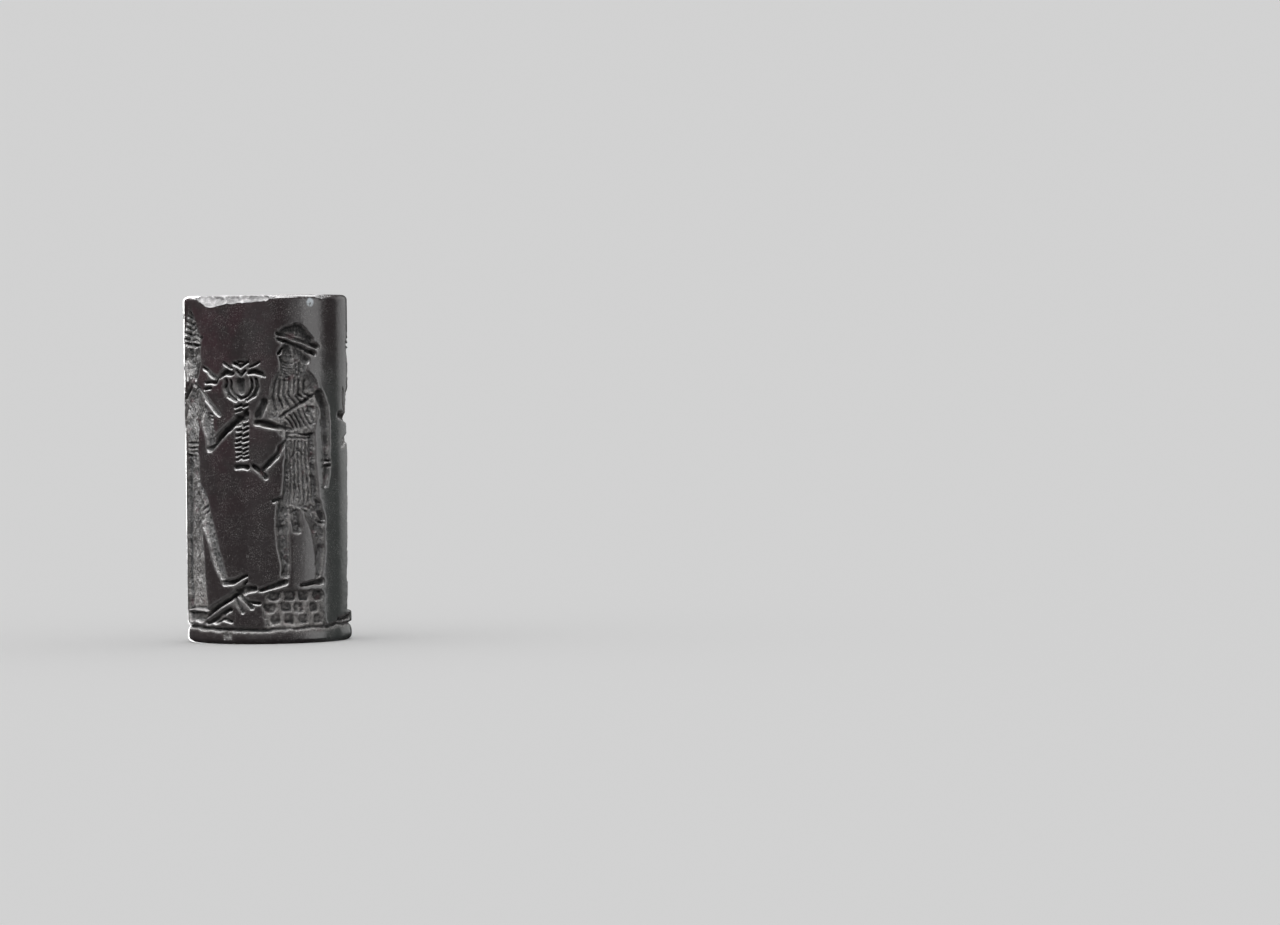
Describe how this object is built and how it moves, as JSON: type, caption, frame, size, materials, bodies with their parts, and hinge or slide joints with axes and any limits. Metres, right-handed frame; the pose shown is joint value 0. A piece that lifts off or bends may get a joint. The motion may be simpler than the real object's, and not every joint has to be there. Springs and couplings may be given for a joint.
{
  "type": "cylinder seal",
  "caption": "Carved stone cylinder seal with a bore along its axis, standing on its plain flat end.",
  "frame": {"origin": "middle of the lower end, on the bore's axis", "axes": "+Z along the bore axis, up; -Y faces the carved king and mace"},
  "size_m": [0.0128, 0.0128, 0.027],
  "materials": {
    "haematite": "satin"
  },
  "bodies": {
    "root": {"cylinder_seal": "haematite"}
  },
  "joints": []
}
